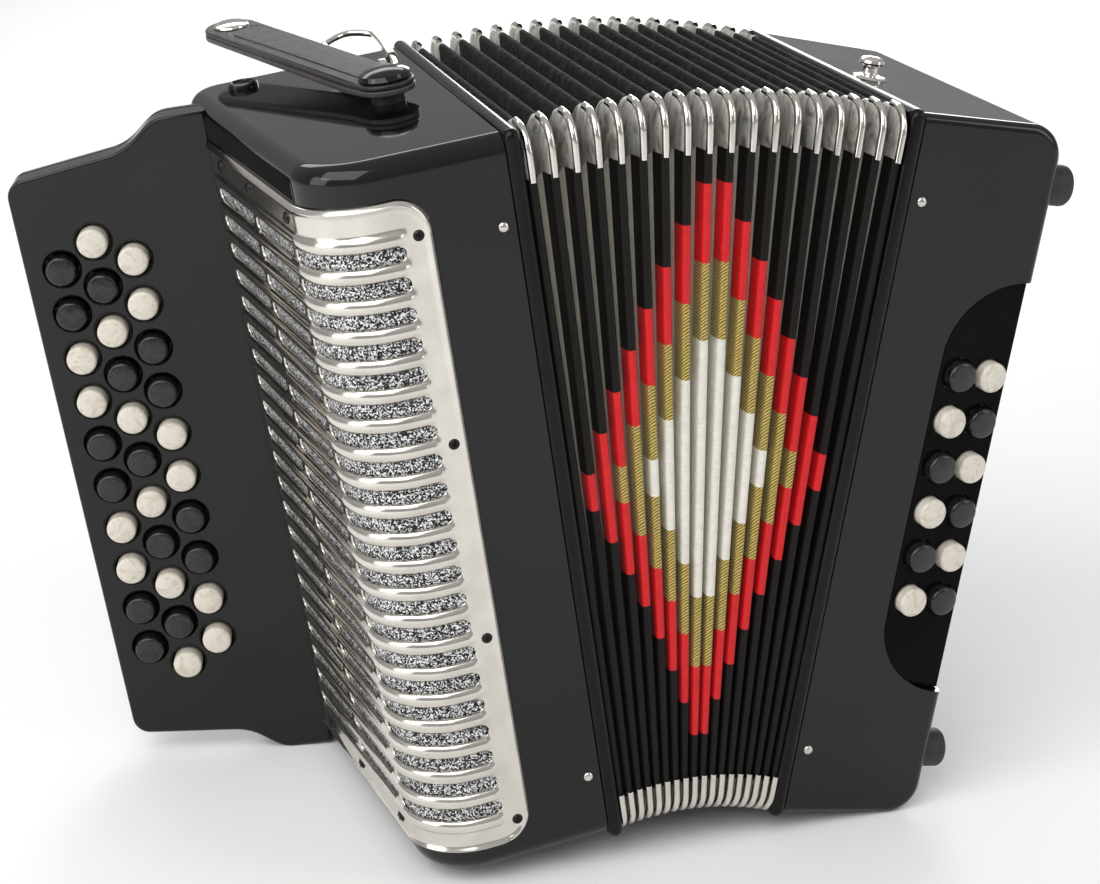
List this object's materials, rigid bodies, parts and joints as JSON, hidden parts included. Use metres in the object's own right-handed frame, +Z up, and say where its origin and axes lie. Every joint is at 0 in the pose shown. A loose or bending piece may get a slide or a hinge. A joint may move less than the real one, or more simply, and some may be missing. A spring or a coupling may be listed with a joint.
{
  "type": "diatonic button accordion",
  "caption": "Button accordion in black gloss with two cases joined by a pleated bellows, a slotted grille, sprung buttons, and swivelling strap and rings.",
  "frame": {"origin": "on the floor, under the middle of the instrument's box", "axes": "+X from the treble case to the bass case, +Y to the back, +Z up; the bellows stands fan-open"},
  "size_m": [0.3858, 0.2056, 0.3062],
  "materials": {
    "case_lacquer": "black piano gloss",
    "grille_chrome": "polished, bright",
    "reed_wood": "planed, bare",
    "bellows_cloth": "pleated card covered in dark cloth",
    "strap_leather": "satin, stitched edges",
    "ring_chrome": "polished wire",
    "dark_pearl": "black pearl, glossy",
    "white_pearl": "cream pearl, glossy"
  },
  "bodies": {
    "treble": {"treble_case": "case_lacquer", "treble_soundboard": "reed_wood", "treble_reed_blocks": "reed_wood", "fingerboard": "case_lacquer", "grille": "grille_chrome", "treble_bellows_frame": "case_lacquer", "bellows": "bellows_cloth", "bottom_bellows_strap": "strap_leather"},
    "bass": {"bass_case": "case_lacquer", "bass_button_panel": "case_lacquer", "bass_reed_blocks": "reed_wood", "bass_bellows_frame": "case_lacquer", "bass_hand_strap": "strap_leather"},
    "top_strap": {"top_bellows_strap": "strap_leather"},
    "top_ring": {"top_strap_ring": "ring_chrome"},
    "bottom_ring": {"bottom_strap_ring": "ring_chrome"},
    "air_button": {"air_button": "dark_pearl"},
    "treble_button_outer_01": {"treble_button_outer_01": "dark_pearl"},
    "treble_button_outer_02": {"treble_button_outer_02": "dark_pearl"},
    "treble_button_outer_03": {"treble_button_outer_03": "white_pearl"},
    "treble_button_outer_04": {"treble_button_outer_04": "white_pearl"},
    "treble_button_outer_05": {"treble_button_outer_05": "dark_pearl"},
    "treble_button_outer_06": {"treble_button_outer_06": "dark_pearl"},
    "treble_button_outer_07": {"treble_button_outer_07": "white_pearl"},
    "treble_button_outer_08": {"treble_button_outer_08": "white_pearl"},
    "treble_button_outer_09": {"treble_button_outer_09": "dark_pearl"},
    "treble_button_outer_10": {"treble_button_outer_10": "dark_pearl"},
    "treble_button_middle_01": {"treble_button_middle_01": "white_pearl"},
    "treble_button_middle_02": {"treble_button_middle_02": "dark_pearl"},
    "treble_button_middle_03": {"treble_button_middle_03": "white_pearl"},
    "treble_button_middle_04": {"treble_button_middle_04": "dark_pearl"},
    "treble_button_middle_05": {"treble_button_middle_05": "white_pearl"},
    "treble_button_middle_06": {"treble_button_middle_06": "dark_pearl"},
    "treble_button_middle_07": {"treble_button_middle_07": "white_pearl"},
    "treble_button_middle_08": {"treble_button_middle_08": "dark_pearl"},
    "treble_button_middle_09": {"treble_button_middle_09": "white_pearl"},
    "treble_button_middle_10": {"treble_button_middle_10": "dark_pearl"},
    "treble_button_middle_11": {"treble_button_middle_11": "white_pearl"},
    "treble_button_inner_01": {"treble_button_inner_01": "white_pearl"},
    "treble_button_inner_02": {"treble_button_inner_02": "white_pearl"},
    "treble_button_inner_03": {"treble_button_inner_03": "dark_pearl"},
    "treble_button_inner_04": {"treble_button_inner_04": "dark_pearl"},
    "treble_button_inner_05": {"treble_button_inner_05": "white_pearl"},
    "treble_button_inner_06": {"treble_button_inner_06": "white_pearl"},
    "treble_button_inner_07": {"treble_button_inner_07": "dark_pearl"},
    "treble_button_inner_08": {"treble_button_inner_08": "dark_pearl"},
    "treble_button_inner_09": {"treble_button_inner_09": "white_pearl"},
    "treble_button_inner_10": {"treble_button_inner_10": "white_pearl"},
    "bass_button_inner_1": {"bass_button_inner_1": "dark_pearl"},
    "bass_button_inner_2": {"bass_button_inner_2": "white_pearl"},
    "bass_button_inner_3": {"bass_button_inner_3": "dark_pearl"},
    "bass_button_inner_4": {"bass_button_inner_4": "white_pearl"},
    "bass_button_inner_5": {"bass_button_inner_5": "dark_pearl"},
    "bass_button_inner_6": {"bass_button_inner_6": "white_pearl"},
    "bass_button_outer_1": {"bass_button_outer_1": "white_pearl"},
    "bass_button_outer_2": {"bass_button_outer_2": "dark_pearl"},
    "bass_button_outer_3": {"bass_button_outer_3": "white_pearl"},
    "bass_button_outer_4": {"bass_button_outer_4": "dark_pearl"},
    "bass_button_outer_5": {"bass_button_outer_5": "white_pearl"},
    "bass_button_outer_6": {"bass_button_outer_6": "dark_pearl"}
  },
  "joints": [
    {"name": "bellows_fan", "type": "hinge", "parent": "treble", "child": "bass", "pos_m": [0.03138, -0.01544, 0.0118], "axis": [0, 1, 0], "range_deg": [-17.44, 20], "deforming": ["bellows", "bottom_bellows_strap"]},
    {"name": "top_strap_swivel", "type": "hinge", "parent": "treble", "child": "top_strap", "pos_m": [-0.05529, -0.01994, 0.29732], "axis": [-0.1189, 0, 0.9929], "range_deg": [0, 242]},
    {"name": "top_ring_swing", "type": "hinge", "parent": "treble", "child": "top_ring", "pos_m": [-0.04874, 0.01506, 0.2973], "axis": [0.9929, 0, 0.1189], "range_deg": [-12, 40]},
    {"name": "bottom_ring_swing", "type": "hinge", "parent": "treble", "child": "bottom_ring", "pos_m": [-0.0412, 0.07146, 0.07039], "axis": [0.9929, 0, 0.1189], "range_deg": [0, 170]},
    {"name": "air_button_press", "type": "slide", "parent": "bass", "child": "air_button", "axis": [-0.3216, -0.9449, 0.0602], "range_m": [0, 0.005], "stiffness_N_per_m": 200, "springref_m": -0.002},
    {"name": "treble_button_outer_01_press", "type": "slide", "parent": "treble", "child": "treble_button_outer_01", "axis": [0.2385, 0.9707, 0.0286], "range_m": [0, 0.004], "stiffness_N_per_m": 150, "springref_m": -0.002},
    {"name": "treble_button_outer_02_press", "type": "slide", "parent": "treble", "child": "treble_button_outer_02", "axis": [0.2385, 0.9707, 0.0286], "range_m": [0, 0.004], "stiffness_N_per_m": 150, "springref_m": -0.002},
    {"name": "treble_button_outer_03_press", "type": "slide", "parent": "treble", "child": "treble_button_outer_03", "axis": [0.2385, 0.9707, 0.0286], "range_m": [0, 0.004], "stiffness_N_per_m": 150, "springref_m": -0.002},
    {"name": "treble_button_outer_04_press", "type": "slide", "parent": "treble", "child": "treble_button_outer_04", "axis": [0.2385, 0.9707, 0.0286], "range_m": [0, 0.004], "stiffness_N_per_m": 150, "springref_m": -0.002},
    {"name": "treble_button_outer_05_press", "type": "slide", "parent": "treble", "child": "treble_button_outer_05", "axis": [0.2385, 0.9707, 0.0286], "range_m": [0, 0.004], "stiffness_N_per_m": 150, "springref_m": -0.002},
    {"name": "treble_button_outer_06_press", "type": "slide", "parent": "treble", "child": "treble_button_outer_06", "axis": [0.2385, 0.9707, 0.0286], "range_m": [0, 0.004], "stiffness_N_per_m": 150, "springref_m": -0.002},
    {"name": "treble_button_outer_07_press", "type": "slide", "parent": "treble", "child": "treble_button_outer_07", "axis": [0.2385, 0.9707, 0.0286], "range_m": [0, 0.004], "stiffness_N_per_m": 150, "springref_m": -0.002},
    {"name": "treble_button_outer_08_press", "type": "slide", "parent": "treble", "child": "treble_button_outer_08", "axis": [0.2385, 0.9707, 0.0286], "range_m": [0, 0.004], "stiffness_N_per_m": 150, "springref_m": -0.002},
    {"name": "treble_button_outer_09_press", "type": "slide", "parent": "treble", "child": "treble_button_outer_09", "axis": [0.2385, 0.9707, 0.0286], "range_m": [0, 0.004], "stiffness_N_per_m": 150, "springref_m": -0.002},
    {"name": "treble_button_outer_10_press", "type": "slide", "parent": "treble", "child": "treble_button_outer_10", "axis": [0.2385, 0.9707, 0.0286], "range_m": [0, 0.004], "stiffness_N_per_m": 150, "springref_m": -0.002},
    {"name": "treble_button_middle_01_press", "type": "slide", "parent": "treble", "child": "treble_button_middle_01", "axis": [0.2385, 0.9707, 0.0286], "range_m": [0, 0.004], "stiffness_N_per_m": 150, "springref_m": -0.002},
    {"name": "treble_button_middle_02_press", "type": "slide", "parent": "treble", "child": "treble_button_middle_02", "axis": [0.2385, 0.9707, 0.0286], "range_m": [0, 0.004], "stiffness_N_per_m": 150, "springref_m": -0.002},
    {"name": "treble_button_middle_03_press", "type": "slide", "parent": "treble", "child": "treble_button_middle_03", "axis": [0.2385, 0.9707, 0.0286], "range_m": [0, 0.004], "stiffness_N_per_m": 150, "springref_m": -0.002},
    {"name": "treble_button_middle_04_press", "type": "slide", "parent": "treble", "child": "treble_button_middle_04", "axis": [0.2385, 0.9707, 0.0286], "range_m": [0, 0.004], "stiffness_N_per_m": 150, "springref_m": -0.002},
    {"name": "treble_button_middle_05_press", "type": "slide", "parent": "treble", "child": "treble_button_middle_05", "axis": [0.2385, 0.9707, 0.0286], "range_m": [0, 0.004], "stiffness_N_per_m": 150, "springref_m": -0.002},
    {"name": "treble_button_middle_06_press", "type": "slide", "parent": "treble", "child": "treble_button_middle_06", "axis": [0.2385, 0.9707, 0.0286], "range_m": [0, 0.004], "stiffness_N_per_m": 150, "springref_m": -0.002},
    {"name": "treble_button_middle_07_press", "type": "slide", "parent": "treble", "child": "treble_button_middle_07", "axis": [0.2385, 0.9707, 0.0286], "range_m": [0, 0.004], "stiffness_N_per_m": 150, "springref_m": -0.002},
    {"name": "treble_button_middle_08_press", "type": "slide", "parent": "treble", "child": "treble_button_middle_08", "axis": [0.2385, 0.9707, 0.0286], "range_m": [0, 0.004], "stiffness_N_per_m": 150, "springref_m": -0.002},
    {"name": "treble_button_middle_09_press", "type": "slide", "parent": "treble", "child": "treble_button_middle_09", "axis": [0.2385, 0.9707, 0.0286], "range_m": [0, 0.004], "stiffness_N_per_m": 150, "springref_m": -0.002},
    {"name": "treble_button_middle_10_press", "type": "slide", "parent": "treble", "child": "treble_button_middle_10", "axis": [0.2385, 0.9707, 0.0286], "range_m": [0, 0.004], "stiffness_N_per_m": 150, "springref_m": -0.002},
    {"name": "treble_button_middle_11_press", "type": "slide", "parent": "treble", "child": "treble_button_middle_11", "axis": [0.2385, 0.9707, 0.0286], "range_m": [0, 0.004], "stiffness_N_per_m": 150, "springref_m": -0.002},
    {"name": "treble_button_inner_01_press", "type": "slide", "parent": "treble", "child": "treble_button_inner_01", "axis": [0.2385, 0.9707, 0.0286], "range_m": [0, 0.004], "stiffness_N_per_m": 150, "springref_m": -0.002},
    {"name": "treble_button_inner_02_press", "type": "slide", "parent": "treble", "child": "treble_button_inner_02", "axis": [0.2385, 0.9707, 0.0286], "range_m": [0, 0.004], "stiffness_N_per_m": 150, "springref_m": -0.002},
    {"name": "treble_button_inner_03_press", "type": "slide", "parent": "treble", "child": "treble_button_inner_03", "axis": [0.2385, 0.9707, 0.0286], "range_m": [0, 0.004], "stiffness_N_per_m": 150, "springref_m": -0.002},
    {"name": "treble_button_inner_04_press", "type": "slide", "parent": "treble", "child": "treble_button_inner_04", "axis": [0.2385, 0.9707, 0.0286], "range_m": [0, 0.004], "stiffness_N_per_m": 150, "springref_m": -0.002},
    {"name": "treble_button_inner_05_press", "type": "slide", "parent": "treble", "child": "treble_button_inner_05", "axis": [0.2385, 0.9707, 0.0286], "range_m": [0, 0.004], "stiffness_N_per_m": 150, "springref_m": -0.002},
    {"name": "treble_button_inner_06_press", "type": "slide", "parent": "treble", "child": "treble_button_inner_06", "axis": [0.2385, 0.9707, 0.0286], "range_m": [0, 0.004], "stiffness_N_per_m": 150, "springref_m": -0.002},
    {"name": "treble_button_inner_07_press", "type": "slide", "parent": "treble", "child": "treble_button_inner_07", "axis": [0.2385, 0.9707, 0.0286], "range_m": [0, 0.004], "stiffness_N_per_m": 150, "springref_m": -0.002},
    {"name": "treble_button_inner_08_press", "type": "slide", "parent": "treble", "child": "treble_button_inner_08", "axis": [0.2385, 0.9707, 0.0286], "range_m": [0, 0.004], "stiffness_N_per_m": 150, "springref_m": -0.002},
    {"name": "treble_button_inner_09_press", "type": "slide", "parent": "treble", "child": "treble_button_inner_09", "axis": [0.2385, 0.9707, 0.0286], "range_m": [0, 0.004], "stiffness_N_per_m": 150, "springref_m": -0.002},
    {"name": "treble_button_inner_10_press", "type": "slide", "parent": "treble", "child": "treble_button_inner_10", "axis": [0.2385, 0.9707, 0.0286], "range_m": [0, 0.004], "stiffness_N_per_m": 150, "springref_m": -0.002},
    {"name": "bass_button_inner_1_press", "type": "slide", "parent": "bass", "child": "bass_button_inner_1", "axis": [-0.147, 0.9888, 0.0275], "range_m": [0, 0.004], "stiffness_N_per_m": 150, "springref_m": -0.002},
    {"name": "bass_button_inner_2_press", "type": "slide", "parent": "bass", "child": "bass_button_inner_2", "axis": [-0.147, 0.9888, 0.0275], "range_m": [0, 0.004], "stiffness_N_per_m": 150, "springref_m": -0.002},
    {"name": "bass_button_inner_3_press", "type": "slide", "parent": "bass", "child": "bass_button_inner_3", "axis": [-0.147, 0.9888, 0.0275], "range_m": [0, 0.004], "stiffness_N_per_m": 150, "springref_m": -0.002},
    {"name": "bass_button_inner_4_press", "type": "slide", "parent": "bass", "child": "bass_button_inner_4", "axis": [-0.147, 0.9888, 0.0275], "range_m": [0, 0.004], "stiffness_N_per_m": 150, "springref_m": -0.002},
    {"name": "bass_button_inner_5_press", "type": "slide", "parent": "bass", "child": "bass_button_inner_5", "axis": [-0.147, 0.9888, 0.0275], "range_m": [0, 0.004], "stiffness_N_per_m": 150, "springref_m": -0.002},
    {"name": "bass_button_inner_6_press", "type": "slide", "parent": "bass", "child": "bass_button_inner_6", "axis": [-0.147, 0.9888, 0.0275], "range_m": [0, 0.004], "stiffness_N_per_m": 150, "springref_m": -0.002},
    {"name": "bass_button_outer_1_press", "type": "slide", "parent": "bass", "child": "bass_button_outer_1", "axis": [-0.147, 0.9888, 0.0275], "range_m": [0, 0.004], "stiffness_N_per_m": 150, "springref_m": -0.002},
    {"name": "bass_button_outer_2_press", "type": "slide", "parent": "bass", "child": "bass_button_outer_2", "axis": [-0.147, 0.9888, 0.0275], "range_m": [0, 0.004], "stiffness_N_per_m": 150, "springref_m": -0.002},
    {"name": "bass_button_outer_3_press", "type": "slide", "parent": "bass", "child": "bass_button_outer_3", "axis": [-0.147, 0.9888, 0.0275], "range_m": [0, 0.004], "stiffness_N_per_m": 150, "springref_m": -0.002},
    {"name": "bass_button_outer_4_press", "type": "slide", "parent": "bass", "child": "bass_button_outer_4", "axis": [-0.147, 0.9888, 0.0275], "range_m": [0, 0.004], "stiffness_N_per_m": 150, "springref_m": -0.002},
    {"name": "bass_button_outer_5_press", "type": "slide", "parent": "bass", "child": "bass_button_outer_5", "axis": [-0.147, 0.9888, 0.0275], "range_m": [0, 0.004], "stiffness_N_per_m": 150, "springref_m": -0.002},
    {"name": "bass_button_outer_6_press", "type": "slide", "parent": "bass", "child": "bass_button_outer_6", "axis": [-0.147, 0.9888, 0.0275], "range_m": [0, 0.004], "stiffness_N_per_m": 150, "springref_m": -0.002}
  ]
}
